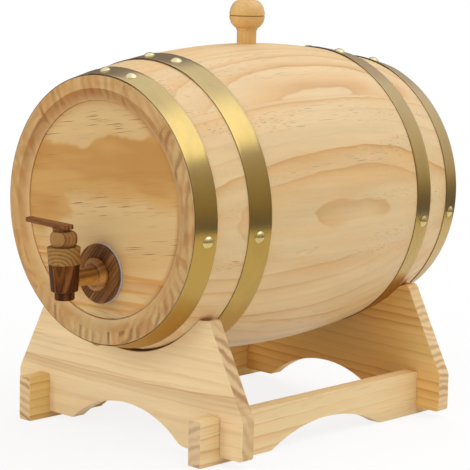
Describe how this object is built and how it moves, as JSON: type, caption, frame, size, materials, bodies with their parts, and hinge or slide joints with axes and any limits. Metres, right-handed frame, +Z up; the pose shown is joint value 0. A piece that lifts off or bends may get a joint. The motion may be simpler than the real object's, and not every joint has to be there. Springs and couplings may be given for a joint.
{
  "type": "wooden barrel dispenser",
  "caption": "Small coopered wooden barrel with brass hoops, lying in an arched wooden cradle, with a turned bung on top and a wooden tap in its front head.",
  "frame": {"origin": "on the surface that the stretchers stand on, midway between the sides, and midway between the tap's front and the barrel's rear end", "axes": "+Z up, Y along the barrel's axis with the tap towards -Y, +X to the right of someone facing the tap"},
  "size_m": [0.212, 0.2998, 0.2867],
  "materials": {
    "stave_pine": "planed and lightly waxed pine",
    "head_pine": "honey pine, lightly waxed",
    "stand_pine": "bare sanded pine",
    "bung_pine": "turned and lightly waxed",
    "tap_hardwood": "dark striped hardwood, waxed",
    "stem_hardwood": "golden brown hardwood, waxed",
    "key_hardwood": "mid brown hardwood, waxed",
    "cork": "cork",
    "washer_rubber": "pale grey, matte",
    "hoop_brass": "brushed along the strip",
    "nail_brass": "polished"
  },
  "bodies": {
    "stand": {"front_saddle": "stand_pine", "rear_saddle": "stand_pine", "left_stretcher": "stand_pine", "right_stretcher": "stand_pine"},
    "barrel": {"bung_stave": "stave_pine", "stave_02": "stave_pine", "stave_03": "stave_pine", "stave_04": "stave_pine", "stave_05": "stave_pine", "stave_06": "stave_pine", "stave_07": "stave_pine", "stave_08": "stave_pine", "stave_09": "stave_pine", "stave_10": "stave_pine", "stave_11": "stave_pine", "stave_12": "stave_pine", "front_head": "head_pine", "rear_head": "head_pine", "front_chime_hoop": "hoop_brass", "front_quarter_hoop": "hoop_brass", "rear_quarter_hoop": "hoop_brass", "rear_chime_hoop": "hoop_brass", "front_chime_nails": "nail_brass", "front_quarter_nails": "nail_brass", "rear_quarter_nails": "nail_brass", "rear_chime_nails": "nail_brass", "tap_gasket": "washer_rubber", "tap_rosette": "tap_hardwood", "tap_stem": "stem_hardwood", "tap_body": "tap_hardwood", "key_sleeve": "cork"},
    "key": {"tap_key": "key_hardwood", "tap_lever": "key_hardwood"},
    "stopper": {"bung": "bung_pine"}
  },
  "joints": [
    {"name": "barrel_lift", "type": "slide", "parent": "stand", "child": "barrel", "axis": [0, 0, 1], "range_m": [0, 0.06]},
    {"name": "tap_turn", "type": "hinge", "parent": "barrel", "child": "key", "pos_m": [0, -0.13857, 0.11189], "axis": [0, -0.0314, 0.9995], "range_deg": [0, 90]},
    {"name": "bung_pull", "type": "slide", "parent": "barrel", "child": "stopper", "axis": [0, 0, 1], "range_m": [0, 0.03]}
  ]
}
